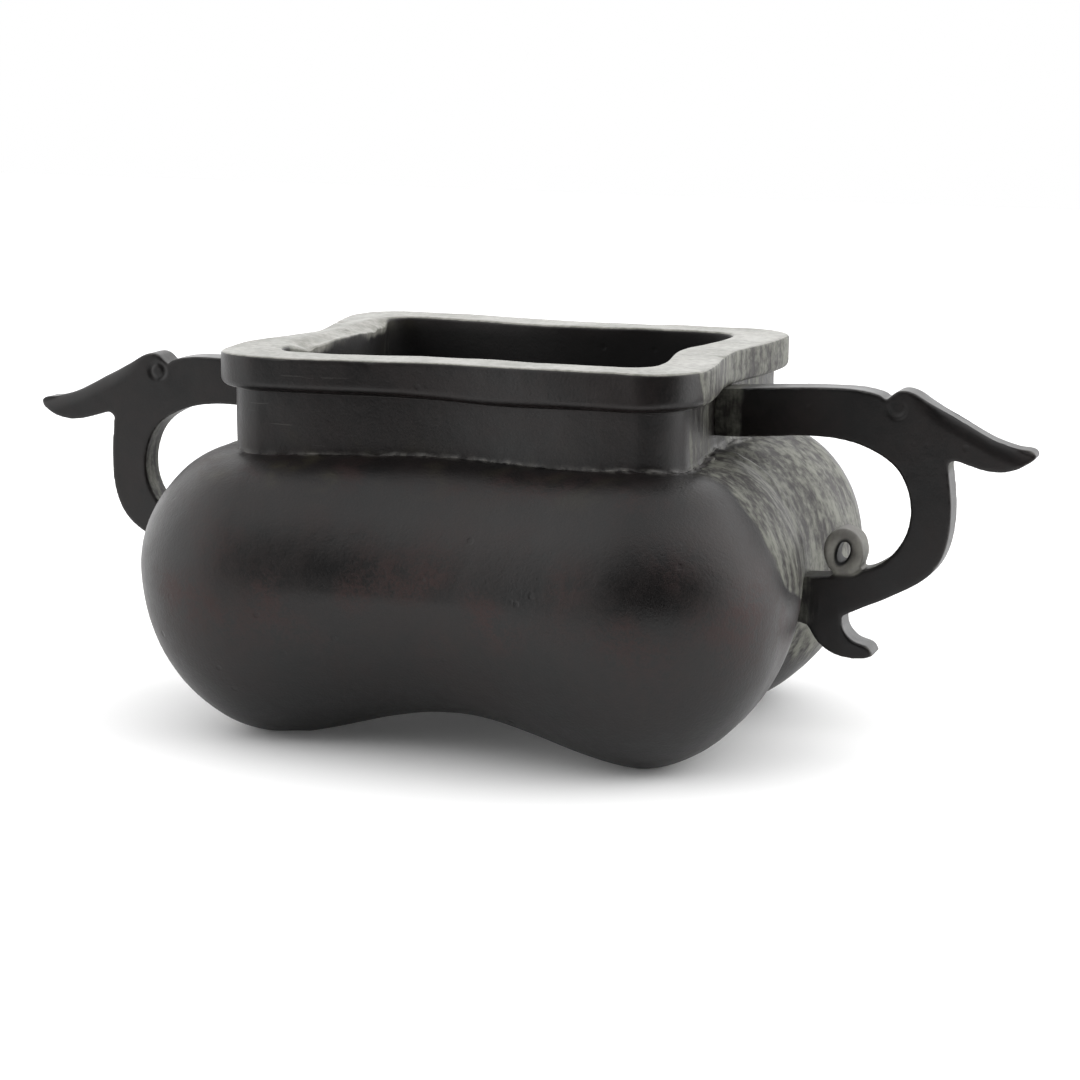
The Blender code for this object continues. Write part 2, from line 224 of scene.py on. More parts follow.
class Form:
    """The vessel's shape in rows, from the same sizes as its solid."""

    lip_edge = 0.7 * MM
    lip_foot_edge = 1.9 * MM
    mouth_corner = 6.0 * MM
    mouth_edge = 0.9 * MM
    foot_reach = -2.8 * MM
    shoulder_roundness = 1.92
    underside_roundness = 1.97
    foot_pad = 4.5 * MM
    lip_dents = (3.4 * MM, 3.4 * MM)
    neck_dents = (3.2 * MM, 3.2 * MM)
    belly_dents = (2.6 * MM, 3.7 * MM)
    under_dents = (7.8 * MM, 6.8 * MM)
    crossing_depth = 6.0 * MM
    rim_sharpness = (2.6, 2.4)
    body_sharpness = (1.65, 4.9)

    def __init__(self, sizes):
        self.sizes = sizes
        self.top = VESSEL_HIGH.z
        self.foot = self.top - sizes.lip_height
        self.half_length = VESSEL_HIGH.x - sizes.belly_outset
        self.half_width = VESSEL_HIGH.y - sizes.belly_outset
        self.corner = sizes.neck_corner
        self.centre = (self.half_length - self.corner, self.half_width - self.corner)

    def ring(self, half_length, half_width, corner, height, dents, sharpness, facing=(1.0, 0.0)):
        """One closed row, its sides pressed in against the way that the surface faces."""
        depth = sum(SIDES[:, side] * dents[side] * press(ANCHORS[:, side], sharpness[side])
                    for side in (0, 1))
        centre = np.array((half_length - corner, half_width - corner))
        flat = ANCHORS * centre + WAYS * (corner - depth * facing[0])[:, None]
        return np.column_stack((flat, np.maximum(0.0, height - depth * facing[1])))

    def outer(self, inset, height):
        """A row round the lip."""
        reach = self.sizes.lip_overhang - inset
        return self.ring(self.half_length + reach, self.half_width + reach, self.corner + reach, height,
                         self.lip_dents, self.rim_sharpness)

    def mouth(self, inset, height):
        """A row round the mouth."""
        return self.ring(self.sizes.mouth_half_length - inset, self.sizes.mouth_half_width - inset,
                         self.mouth_corner - inset, height, self.lip_dents, self.rim_sharpness)

    def neck(self, height, swell=0.0):
        """A row round the neck."""
        return self.ring(self.half_length + swell, self.half_width + swell, self.corner + swell, height,
                         self.neck_dents, self.rim_sharpness)

    def body(self, reach, height, facing, thickness=0.0):
        """A row of the body at a reach from the corner centres, set in by a wall's thickness."""
        belly = self.sizes.belly_height
        near_neck = max(0.0, (height - belly) / (self.sizes.neck_foot - belly))
        if height > belly:
            dents = [mix(low, high, near_neck) for low, high in zip(self.belly_dents, self.neck_dents)]
        else:
            share = max(0.0, height / belly)
            dents = [mix(low, high, share) for low, high in zip(self.under_dents, self.belly_dents)]
        inner = reach - thickness * facing[0]
        pushed = (mix(facing[0], 1.0, near_neck), facing[1] * (1.0 - near_neck))
        return self.ring(self.centre[0] + inner, self.centre[1] + inner, inner,
                         height - thickness * facing[1], dents, self.body_sharpness, pushed)

    @staticmethod
    def oval(width, depth, roundness, turn):
        """A place on a rounded quarter, from its top (turn 0) to its side (1), and the way it faces."""
        angle = math.pi / 2 * turn
        across = math.sin(angle) ** (2 / roundness)
        down = max(0.0, math.cos(angle)) ** (2 / roundness)
        facing = Vector((across ** (roundness - 1) / width, down ** (roundness - 1) / depth)).normalized()
        return width * across, depth * down, facing

    def shoulder(self, turns, thickness=0.0):
        """Rows from the neck out to the belly."""
        rows = []
        for turn in turns:
            out, up, facing = self.oval(self.sizes.belly_outset,
                                        self.sizes.neck_foot - self.sizes.belly_height,
                                        self.shoulder_roundness, turn)
            rows.append(self.body(self.corner + out, self.sizes.belly_height + up, facing, thickness))
        return rows

    def underside_oval(self):
        """Width and depth of the oval below the belly, and the turn at which it meets the ground."""
        width = self.corner + self.sizes.belly_outset - self.foot_reach
        share = ((self.foot_pad - self.foot_reach) / width) ** (self.underside_roundness / 2)
        pad_turn = math.asin(share) / (math.pi / 2)
        down = self.oval(width, 1.0, self.underside_roundness, pad_turn)[1]
        return width, self.sizes.belly_height / down, pad_turn

    def underside(self, steps, thickness=0.0):
        """Rows from below the belly in to the pads on which the lobes stand."""
        width, depth, pad_turn = self.underside_oval()
        rows = []
        for step in range(1, steps + 1):
            turn = mix(1.0, pad_turn, step / steps)
            out, down, facing = self.oval(width, depth, self.underside_roundness, turn)
            rows.append(self.body(self.foot_reach + out, self.sizes.belly_height - down,
                                  (facing[0], -facing[1]), thickness))
        return rows

    def closing(self, edge, level, steps):
        """Rows that run in from an edge row to the middle of the underside or of the floor."""
        cut_off = self.underside_oval()[1] - self.sizes.belly_height
        rows = []
        for step in range(1, steps + 1):
            size = 1.0 - step / (steps + 0.4)
            spots = edge[:, :2] * size
            long_share = press(spots[:, 0] / self.centre[0], self.body_sharpness[0])
            short_share = press(spots[:, 1] / self.centre[1], self.body_sharpness[1])
            rise = (self.under_dents[0] * long_share + self.under_dents[1] * short_share
                    - self.crossing_depth * long_share * short_share)
            rows.append(np.column_stack((spots, level + np.maximum(0.0, rise - cut_off))))
        return rows

    def inside(self):
        """Rows of the hollow, from the middle of its floor up to the mouth's edge."""
        wall = self.sizes.wall
        under = self.underside(16, wall)
        down = ([self.mouth(0.0, self.top - self.mouth_edge - share * (self.top - self.sizes.neck_foot))
                 for share in np.linspace(0.0, 1.0, 9)]
                + self.shoulder(np.linspace(0.10, 1.0, 14), wall) + under
                + self.closing(under[-1], self.sizes.floor_thickness, 12))
        return list(reversed(down))

    def rim(self):
        """Rows over the lip, from the mouth's rounded edge to the lip's foot."""
        rows = []
        for turn in np.linspace(0.25, 1.0, 4):
            angle = math.pi / 2 * turn
            rows.append(self.mouth(-self.mouth_edge * (1 - math.cos(angle)),
                                   self.top - self.mouth_edge * (1 - math.sin(angle))))
        inner, outer = rows[-1], self.outer(self.lip_edge, self.top)
        rows += [mix(inner, outer, share) for share in np.linspace(0.0, 1.0, 10)[1:]]
        for turn in np.linspace(0.0, 1.0, 6)[1:]:
            angle = math.pi / 2 * turn
            rows.append(self.outer(self.lip_edge * (1 - math.sin(angle)),
                                   self.top - self.lip_edge * (1 - math.cos(angle))))
        face_foot = self.foot + self.lip_foot_edge
        rows += [self.outer(0.0, mix(self.top - self.lip_edge, face_foot, share))
                 for share in np.linspace(0.0, 1.0, 9)[1:]]
        for turn in np.linspace(0.0, 1.0, 7)[1:]:
            angle = math.pi / 2 * turn
            rows.append(self.outer(self.lip_foot_edge * (1 - math.cos(angle)),
                                   face_foot - self.lip_foot_edge * math.sin(angle)))
        return rows

    def neck_rows(self):
        """Rows down the neck, close together at its two ends."""
        rows = [self.neck(self.foot - 0.1 * MM, 0.5 * MM)]
        for turn in np.linspace(0.0, 1.0, 22):
            share = 0.5 - 0.5 * math.cos(math.pi * turn)
            rows.append(self.neck(mix(self.foot - 0.5 * MM, self.sizes.neck_foot, share)))
        return rows

    def lower_rows(self):
        """Rows round the body to the middle of the underside."""
        under = self.underside(34)
        return self.shoulder(np.linspace(0.0, 1.0, 36)[1:] ** 1.3) + under + self.closing(under[-1], 0.0, 14)


# Hand work and wear on the cast shape, in millimetres along the front (X) and the ends (Y)

LIP_LEAN = 1.4
JOINT_LINE = ((-52.0, -44.0, -32.0, -11.0, -4.0, 12.0, 22.0, 34.0, 46.0, 52.0),
              (-0.2, -0.8, -0.4, 0.4, 0.5, 0.3, 0.1, 0.45, 0.7, 0.2))
RIM_CHIPS = ((-29.6, -45.6, 0.8, 0.35), (-19.6, -44.0, 1.0, 0.45), (-16.2, -43.4, 1.3, 0.5),
             (-13.6, -43.0, 0.8, 0.4), (22.0, -44.4, 0.7, 0.3), (40.5, -46.0, 0.9, 0.35),
             (-51.4, 22.0, 1.2, 0.5), (50.2, -8.0, 1.1, 0.5), (24.0, 45.0, 0.9, 0.4))


def lip_wear(form, points):
    """How the lip departs from an even, level casting."""
    x, y, z = (points / MM).T
    top, foot = form.top / MM, form.foot / MM
    share = np.clip((z - foot) / (top - foot), 0.0, 1.0)
    outer = np.maximum(smooth_step(43.0, 50.0, np.abs(x)), smooth_step(34.0, 41.0, np.abs(y)))
    front = 1.0 - smooth_step(-38.0, -24.0, y)
    left = smooth_step(-36.0, -48.0, x)
    right_front = smooth_step(0.0, 36.0, x) * (1.0 - smooth_step(-30.0, 14.0, y))
    low = 0.4 * (1.0 - right_front) + 0.22 * front * smooth_step(10.0, -44.0, x)
    low = low + 0.75 * left * bell(y, 13.0, 21.0) * outer + 0.10 * (1.0 + waves(points, 9.0 * MM, 3))
    moved = np.zeros_like(points)
    moved[:, 2] = -low * share
    edge = bell(x, -41.0, 2.2) * smooth_step(-27.0, -20.0, y) * smooth_step(31.0, 24.0, y)
    edge = edge * (1.0 + 0.5 * waves(points, 4.0 * MM, 6))
    moved[:, 2] -= 1.3 * edge * share
    moved[:, 1] = LIP_LEAN * smooth_step(6.0, 40.0, x) * front * share * outer
    moved[:, 0] = 1.3 * left * bell(y, 12.0, 20.0) * outer * share + 0.8 * edge * share
    bow = np.where(z > foot, np.clip((top - z) / (top - foot), 0.0, 1.0), np.clip((z - 66.0) / (foot - 66.0), 0.0, 1.0))
    moved[:, 2] += front * bow * outer * (0.35 * smooth_step(40.0, 50.0, x) - 0.85 * bell(x, 8.5, 14.0))
    for chip_x, chip_y, radius, depth in RIM_CHIPS:
        near = bell(np.hypot(x - chip_x, y - chip_y), 0.0, radius) * bell(z, top, 1.3)
        moved[:, 2] -= depth * near
        moved[:, 1] -= 0.7 * depth * near * np.sign(chip_y) * (abs(chip_y) > 30.0)
    return moved * MM


def joint_raggedness(points):
    """How thick the seam at the neck's foot is from place to place."""
    ragged = 0.50 + 0.8 * waves(points, 5.0 * MM, 5) + 0.9 * np.maximum(0.0, waves(points, 1.3 * MM, 8))
    return np.clip(ragged, 0.10, 1.7)


def joint_bead(form, points, along):
    """The thin raised seam where the neck meets the body, broken and crumbly."""
    x, y, z = (points / MM).T
    front = 1.0 - smooth_step(-36.0, -20.0, y)
    moved = np.zeros_like(points)
    moved[:, 2] = through(*JOINT_LINE, x) * front * bell(z, form.sizes.neck_foot / MM, 6.0)
    thick = 0.60 + 0.55 * smooth_step(44.0, 50.0, np.abs(x)) * bell(y, -6.0, 24.0)
    bead = joint_raggedness(points) * thick * bell(along / MM, 0.15, 0.70)
    bead += 0.30 * np.maximum(0.0, waves(points, 2.1 * MM, 11)) * bell(along / MM, 1.6, 2.4)
    out = points[:, :2] / np.linalg.norm(points[:, :2], axis=1)[:, None]
    moved[:, :2] += 0.75 * bead[:, None] * out
    moved[:, 2] += 0.66 * bead
    return moved * MM


def end_ridge(points):
    """The rough seam down the middle of each end, between the two roots of a handle."""
    x, y, z = (points / MM).T
    down = smooth_step(34.0, 42.0, z) * smooth_step(66.0, 61.5, z) * smooth_step(46.0, 49.0, np.abs(x))
    path = -3.2 + 0.9 * waves(points, 9.0 * MM, 13)
    high = 0.75 + 0.45 * waves(points, 2.6 * MM, 14)
    ridge = high * bell(y, path, 1.9) - 0.35 * bell(y, path + 3.6, 1.4) * smooth_step(50.0, 58.0, z)
    gap = smooth_step(56.0, 60.5, z) * smooth_step(66.0, 63.0, z) * bell(y, 2.0, 3.2)
    moved = np.zeros_like(points)
    push = down * (ridge - 1.2 * gap)
    moved[:, 0] = 0.8 * push * np.sign(x)
    moved[:, 2] = 0.6 * push * smooth_step(40.0, 58.0, z)
    return moved * MM


def uneven_body(points):
    """The left shoulder is slacker than the right one."""
    x, _, z = (points / MM).T
    slack = 0.5 * smooth_step(-40.0, -56.0, x) * bell(z, 54.0, 8.0)
    moved = np.zeros_like(points)
    moved[:, 0] = slack
    moved[:, 2] = -0.5 * slack
    return moved * MM


def hand_finish(points):
    """Low waves left by scraping and polishing, as a push along the way each point faces."""
    return (0.10 * waves(points, 17.0 * MM, 1) + 0.055 * waves(points, 6.5 * MM, 2)
            + 0.014 * waves(points, 2.2 * MM, 4)) * MM


def row_mesh(name, points, count):
    """A closed mesh through rows of count points each, capped at both ends."""
    faces = []
    for row in range(len(points) // count - 1):
        start = row * count
        for place in range(count):
            after = (place + 1) % count
            faces.append((start + place, start + count + place, start + count + after, start + after))
    faces.append(tuple(range(count)))
    faces.append(tuple(reversed(range(len(points) - count, len(points)))))
    mesh = bpy.data.meshes.new(name)
    mesh.from_pydata(points.tolist(), [], faces)
    mesh.validate()
    return mesh


def new_piece(name, mesh, node, material):
    """An object that stands for a node of the frame."""
    piece = bpy.data.objects.new(name, mesh)
    bpy.context.scene.collection.objects.link(piece)
    mesh.materials.append(material)
    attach(piece, "root")
    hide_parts(node)
    return piece


def store(mesh, name, values):
    """Keep a number for each point of a mesh, for its material to read."""
    attribute = mesh.attributes.new(name, "FLOAT", "POINT")
    attribute.data.foreach_set("value", np.asarray(values, np.float32))


def read_points(mesh, what="co"):
    """The places of a mesh's points, or with "normal" the ways that they face."""
    flat = np.empty(len(mesh.vertices) * 3)
    mesh.vertices.foreach_get(what, flat)
    return flat.reshape(-1, 3)


def write_points(mesh, points):
    """Move a mesh's points."""
    mesh.vertices.foreach_set("co", np.asarray(points, np.float32).ravel())
    mesh.update()


def bend_at_points(mesh, reach):
    """How sharply the surface bends at each point: above 0 on edges, below 0 in hollows."""
    points, normals = read_points(mesh), read_points(mesh, "normal")
    pairs = np.empty(len(mesh.edges) * 2, np.int64)
    mesh.edges.foreach_get("vertices", pairs)
    start, end = pairs.reshape(-1, 2).T
    way = points[end] - points[start]
    size = np.maximum(np.linalg.norm(way, axis=1), 1e-7)
    total = np.zeros(len(points))
    count = np.zeros(len(points))
    for here, sign in ((start, -1.0), (end, 1.0)):
        fall = sign * np.einsum("ij,ij->i", way, normals[here]) / size
        np.add.at(total, here, fall)
        np.add.at(count, here, 1.0)
    bend = total / np.maximum(count, 1.0)
    for _ in range(reach):
        spread, count = bend.copy(), np.ones(len(points))
        for here, there in ((start, end), (end, start)):
            np.add.at(spread, here, bend[there])
            np.add.at(count, here, 1.0)
        bend = spread / count
    return bend


END_BORDER = ((20.0, 30.0, 34.0, 40.0, 45.0, 55.0, 62.0, 76.0, 84.0),
              (-4.0, -8.0, -17.0, -32.0, -34.0, -36.5, -33.0, -34.0, -36.0))
DARK_MARKS = ((-29.5, 72.0, 0.7, 0.9), (-20.5, 70.0, 3.2, 0.45), (-16.0, 67.5, 3.0, 0.45),
              (44.0, 46.0, 5.0, 0.4), (-62.0, 24.0, 0.7, 1.0))


def vessel_masks(mesh, inside_count, neck_foot):
    """Where the vessel's patina differs and where shade is painted near-black, as numbers at its points."""
    points, normals = read_points(mesh), read_points(mesh, "normal")
    x, y, z = (points / MM).T
    inside = np.zeros(len(points))
    inside[:inside_count] = 1.0
    cloud = waves(points, 14.0 * MM, 21)
    small = waves(points, 4.0 * MM, 27)
    turned = smooth_step(0.35, 0.75, np.abs(normals[:, 0]))
    border = through(*END_BORDER, z) + 1.2 * cloud + 1.0 * small
    far = np.where(x > 0.0, 1.0, 0.7) * smooth_step(38.0, 47.0, np.abs(x) + 2.0 * cloud)
    end = far * smooth_step(-1.5, 3.0, y - border) * smooth_step(40.0, 33.0, y + 3.0 * cloud)
    on_neck = smooth_step(60.5, 62.5, z) * smooth_step(76.0, 74.5, z)
    end = end * smooth_step(6.0, 20.0, z + 5.0 * cloud) * (1.0 - 0.45 * on_neck) * np.where(z > 62.0, turned, 1.0)
    line = far * bell(y - border, -0.4, 1.3) * smooth_step(26.0, 34.0, z) * smooth_step(62.0, 56.0, z)
    line = line * smooth_step(-0.5, 0.3, small)
    # Painted shade in the crease under each handle's bar, near the neck.
    bar_root_shade = far * smooth_step(58.0, 61.0, z) * bell(y, 3.0, 3.5) * smooth_step(66.0, 63.5, z)
    rim_top = np.maximum(smooth_step(0.50, 0.85, normals[:, 2]) * smooth_step(79.5, 81.0, z),
                         bell(x, -40.5, 2.4) * smooth_step(-29.0, -24.0, y) * smooth_step(32.0, 26.0, y)
                         * smooth_step(78.5, 80.5, z + small))
    belly = bell(z, 37.0 + 2.0 * waves(points, 11.0 * MM, 22), 10.0)
    red = belly * smooth_step(-0.25, 0.35, waves(points, 12.0 * MM, 23)) * (1.0 - 0.8 * end)
    red += 0.6 * bell(z, neck_foot / MM - 2.5, 2.2) * smooth_step(-0.1, 0.4, waves(points, 9.0 * MM, 24))
    stain = bell(z, neck_foot / MM - 1.0, 4.5) * smooth_step(-0.1, 0.45, waves(points, 7.0 * MM, 25))
    stain *= smooth_step(0.0, -30.0, x) * 0.6 + 0.4
    stain += inside * bell(x, -41.0, 5.0) * smooth_step(14.0, 30.0, y) * smooth_step(60.0, 70.0, z)
    # Painted shade: darker towards the bottom, where the body's shadow falls on its underside.
    dark = smooth_step(20.0, 6.0, z + 2.5 * waves(points, 15.0 * MM, 26))
    for mark_x, mark_z, radius, strength in DARK_MARKS:
        spot = bell(np.hypot(x - mark_x, z - mark_z) + 0.25 * radius * small, 0.0, radius)
        dark = np.maximum(dark, strength * spot * (y < 0.0))
    dark = np.maximum(dark, 0.85 * line)
    dark = np.maximum(dark, bar_root_shade)
    # Painted shade: the inside of the bowl below the mouth goes near-black.
    return {"end": np.clip(end, 0.0, 1.0), "rim": np.maximum(rim_top * (1.0 - inside), rim_top * (z > 78.5)),
            "red": np.clip(red, 0.0, 1.0), "stain": np.clip(stain, 0.0, 1.0),
            "dark": np.maximum(dark, 0.85 * inside * smooth_step(82.0, 79.0, z)), "inside": inside,
            "scraped": smooth_step(neck_foot / MM, neck_foot / MM + 2.0, z) * (1.0 - inside)}


def make_vessel(settings):
    """The bowl with its neck and lip."""
    form = Form(settings.vessel)
    inside, rim, neck, lower = form.inside(), form.rim(), form.neck_rows(), form.lower_rows()
    rows = inside + rim + neck + lower
    points = np.concatenate(rows)
    count = len(rows[0])
    steps = [np.linalg.norm(after - before, axis=1).mean() for before, after in zip(rows, rows[1:])]
    joint = len(inside) + len(rim) + len(neck) - 1
    along = np.concatenate(([0.0], np.cumsum(steps)))
    along = np.repeat(along - along[joint], count)
    outside = np.arange(len(points)) >= len(inside) * count
    worked = joint_bead(form, points, along) + end_ridge(points) + uneven_body(points)
    ragged = joint_raggedness(points)
    points = points + lip_wear(form, points) + worked * outside[:, None]
    points[:, 2] = np.clip(points[:, 2], 0.0, form.top)
    mesh = row_mesh("bronze_vessel", points, count)
    mesh.shade_smooth()
    level = smooth_step(0.3, 1.5, points[:, 2] / MM) * (points[:, 2] < form.top - 0.3 * MM)
    points = points + read_points(mesh, "normal") * (hand_finish(points) * level * outside)[:, None]
    points = np.clip(points, np.array(VESSEL_LOW), np.array(VESSEL_HIGH))
    write_points(mesh, points)
    for name, values in vessel_masks(mesh, len(inside) * count, form.sizes.neck_foot).items():
        store(mesh, name, values)
    store(mesh, "joint", outside * ragged * bell(along / MM, 0.1, 0.75))
    store(mesh, "bend", bend_at_points(mesh, 1))
    return new_piece("bronze_vessel", mesh, "vessel", vessel_patina(settings.finish))


# Handles: one outline in millimetres along X and Z, as smooth runs between sharp corners

HANDLE_RUNS = (
    ((45.3, 65.0), (53.8, 65.2), (66.0, 66.2), (74.4, 65.9), (80.5, 64.3), (85.8, 61.2),
     (88.7, 56.9), (89.8, 51.5), (88.9, 46.4), (85.9, 41.8), (82.0, 39.0), (79.2, 38.2)),
    ((79.2, 38.2), (80.0, 41.6), (79.0, 45.2), (76.0, 46.9), (72.7, 45.7), (71.4, 42.2),
     (72.4, 38.6), (74.2, 36.6)),
    ((74.2, 36.6), (69.0, 36.2), (65.0, 35.8)),
    ((65.0, 35.8), (64.4, 26.2)),
    ((64.4, 26.2), (66.0, 26.2), (68.4, 25.6)),
    ((68.4, 25.6), (70.6, 22.2), (73.6, 20.0), (77.2, 19.1), (80.6, 19.2), (82.9, 20.0)),
    ((82.9, 20.0), (81.6, 21.8), (78.4, 22.9), (76.3, 25.2), (75.8, 28.0)),
    ((75.8, 28.0), (80.4, 30.3), (86.0, 33.0), (92.4, 36.7), (96.0, 40.6), (97.9, 46.2),
     (98.3, 53.5), (97.3, 62.1)),
    ((97.3, 62.1), (98.8, 62.9), (102.0, 62.0), (105.1, 61.2), (108.3, 61.0), (111.3, 61.7),
     (113.3, 62.8), (115.0, 64.0), (115.3, 65.0), (114.4, 65.8), (113.0, 66.0), (111.0, 66.2), (106.0, 67.8), (99.6, 71.1), (93.2, 74.5),
     (89.4, 76.6), (86.4, 76.8), (83.8, 74.7)),
    ((83.8, 74.7), (82.0, 75.9), (76.2, 76.7), (65.5, 76.5), (52.5, 75.6), (45.3, 75.0)),
    ((45.3, 75.0), (45.3, 65.0)),
)
OUTLINE_STEP = 0.4 * MM
EYE_CENTRE = (86.3, 73.0)
CURL_CENTRE = (75.6, 41.8)
CURL_REACH = 5.6
CURL_RING = (3.5, 2.3)
CURL_HOLLOW = {"size": (1.35, 2.35), "lean": 16.0, "steps": 40}
TRUNK_ROOT = 92.0
TRUNK_TIP = 115.4
TRUNK_LEVEL = 60.9
TRUNK_BACK = ((89.4, 76.6), (93.2, 74.5), (99.6, 71.1), (106.0, 67.8), (111.0, 66.0), (115.4, 64.6))
HANDLE_FITS = {
    "handle_left": {"side": -1, "shift": (-1.5, -1.1), "trunk_reach": 1.5, "trunk_droop": 0.6},
    "handle_right": {"side": 1, "shift": (0.0, 0.0), "trunk_reach": 0.0, "trunk_droop": 0.0},
}


def smooth_run(points):
    """Evenly spaced points on a smooth curve through the given ones, without its last point."""
    spots = [Vector(point) * MM for point in points]
    ends = [2 * spots[0] - spots[1]] + spots + [2 * spots[-1] - spots[-2]]
    made = []
    for before, start, end, after in zip(ends, ends[1:], ends[2:], ends[3:]):
        steps = max(1, round((end - start).length / OUTLINE_STEP))
        for step in range(steps):
            t = step / steps
            made.append(0.5 * (2 * start + (end - before) * t
                               + (2 * before - 5 * start + 4 * end - after) * t ** 2
                               + (3 * start - before - 3 * end + after) * t ** 3))
    return made


def placed(point, fit):
    """A point of the outline in millimetres, as fitted on one side of the vessel."""
    x, z = point
    along = max(0.0, (x - TRUNK_ROOT) / (TRUNK_TIP - TRUNK_ROOT)) if z > TRUNK_LEVEL else 0.0
    return (x + fit["shift"][0] + fit["trunk_reach"] * along,
            z + fit["shift"][1] - fit["trunk_droop"] * along)


def curl_hollow(fit):
    """The leaning oval hollow in the middle of the curl."""
    middle = placed(CURL_CENTRE, fit)
    lean = math.radians(CURL_HOLLOW["lean"])
    wide, high = CURL_HOLLOW["size"]
    outline = []
    for step in range(CURL_HOLLOW["steps"]):
        angle = 2 * math.pi * step / CURL_HOLLOW["steps"]
        across, up = wide * math.cos(angle), high * math.sin(angle)
        outline.append(Vector((middle[0] + across * math.cos(lean) + up * math.sin(lean),
                               middle[1] + up * math.cos(lean) - across * math.sin(lean))) * MM)
    return outline


def plate_mesh(name, loops, side, thickness):
    """A plate cut to an outline, with a hollow through it."""
    spots = [spot for loop in loops for spot in loop]
    levels = (-thickness / 2, thickness / 2)
    points = [(side * spot.x, y, spot.y) for y in levels for spot in spots]
    faces = []
    for one, two, three in tessellate_polygon([[spot.to_3d() for spot in loop] for loop in loops]):
        faces.append((one, two, three))
        faces.append((three + len(spots), two + len(spots), one + len(spots)))
    start = 0
    for loop in loops:
        for place in range(len(loop)):
            here, after = start + place, start + (place + 1) % len(loop)
            faces.append((here, after, after + len(spots), here + len(spots)))
        start += len(loop)
    mesh = bpy.data.meshes.new(name)
    mesh.from_pydata(points, [], faces)
    work = bmesh.new()
    work.from_mesh(mesh)
    bmesh.ops.recalc_face_normals(work, faces=work.faces)
    work.to_mesh(mesh)
    work.free()
    return mesh


def filed_plate(name, fit, sizes):
    """An even, softened mesh of the plate, with the hollow of its curl."""
    outline = []
    for run in HANDLE_RUNS:
        outline.extend(smooth_run([placed(point, fit) for point in run]))
    mesh = plate_mesh(name, [outline, curl_hollow(fit)], fit["side"], sizes.thickness)
    plate = bpy.data.objects.new(name, mesh)
    bpy.context.scene.collection.objects.link(plate)
    even = plate.modifiers.new("even", "REMESH")
    even.mode = "VOXEL"
    even.voxel_size = sizes.mesh_step
    soft = plate.modifiers.new("soft", "SMOOTH")
    soft.factor = 0.5
    soft.iterations = 9
    made = bpy.data.meshes.new_from_object(plate.evaluated_get(bpy.context.evaluated_depsgraph_get()))
    bpy.data.objects.remove(plate)
    return made


def distance_to_run(x, z, run):
    """How far places are from a line through a run of points, all in millimetres."""
    nearest = np.full(len(x), 1e3)
    for (x0, z0), (x1, z1) in zip(run, run[1:]):
        way = np.array((x1 - x0, z1 - z0))
        share = np.clip(((x - x0) * way[0] + (z - z0) * way[1]) / way.dot(way), 0.0, 1.0)
        nearest = np.minimum(nearest, np.hypot(x - x0 - share * way[0], z - z0 - share * way[1]))
    return nearest


def chase_handle(mesh, fit, sizes):
    """Round the curl and the trunk's back, engrave the eyes and roughen the soldered roots."""
    points = read_points(mesh)
    x, y, z = (points / MM).T
    x = x * fit["side"]
    half = sizes.thickness / 2 / MM
    on_face = smooth_step(0.55, 0.95, np.abs(y) / half)

    lean = math.radians(CURL_HOLLOW["lean"])
    curl = placed(CURL_CENTRE, fit)
    radius = np.hypot(x - curl[0], z - curl[1])
    fall = np.clip(((radius - CURL_RING[0]) / CURL_RING[1]) ** 2, 0.0, 1.0)
    inner_side = smooth_step(36.6, 38.0, z - fit["shift"][1]) * smooth_step(CURL_REACH, CURL_REACH - 0.7, radius)
    lower = sizes.curl_rounding / MM * fall * inner_side

    back = distance_to_run(x, z, [placed(spot, fit) for spot in TRUNK_BACK])
    on_trunk = smooth_step(TRUNK_ROOT - 4.0, TRUNK_ROOT + 6.0, x)
    lower = lower + sizes.trunk_rounding / MM * on_trunk * np.clip(1.0 - back / 3.4, 0.0, 1.0) ** 2

    eye = placed(EYE_CENTRE, fit)
    off = np.hypot(x - eye[0], z - eye[1])
    turn = np.arctan2(z - eye[1], x - eye[0])
    worn = 0.25 + 0.65 * np.abs(np.cos(turn)) if fit["side"] < 0 else 0.40 - 0.35 * np.sin(turn)
    ring = bell(off, sizes.eye_radius / MM, 0.42)
    lower = lower + sizes.eye_depth / MM * worn * ring - 0.10 * bell(off, 0.0, 1.0)

    ragged = 1.2 * waves(points, 3.0 * MM, 32)
    rough = np.maximum(smooth_step(54.2, 52.2, x + ragged),
                       smooth_step(71.5, 66.5, x + 2.0 * ragged) * smooth_step(40.0, 36.0, z))
    lower = lower - rough * (0.25 + 0.35 * waves(points, 2.4 * MM, 31))
    points[:, 1] -= np.sign(y) * np.clip(lower, -0.2, 2.0) * on_face * MM
    write_points(mesh, points)
    wavy = (0.06 * waves(points, 9.0 * MM, 33) + 0.02 * waves(points, 3.0 * MM, 34)) * MM
    points = points + read_points(mesh, "normal") * wavy[:, None]
    write_points(mesh, points)
    across = (x - curl[0]) * math.cos(lean) - (z - curl[1]) * math.sin(lean)
    up = (x - curl[0]) * math.sin(lean) + (z - curl[1]) * math.cos(lean)
    wide, high = CURL_HOLLOW["size"]
    # Painted shade: the walls of the curl's hole and their edges go black.
    hollow = smooth_step(1.45, 1.05, np.hypot(across / wide, up / high))
    return {"radius": radius, "rough": rough, "eye": ring * worn, "hollow": hollow}


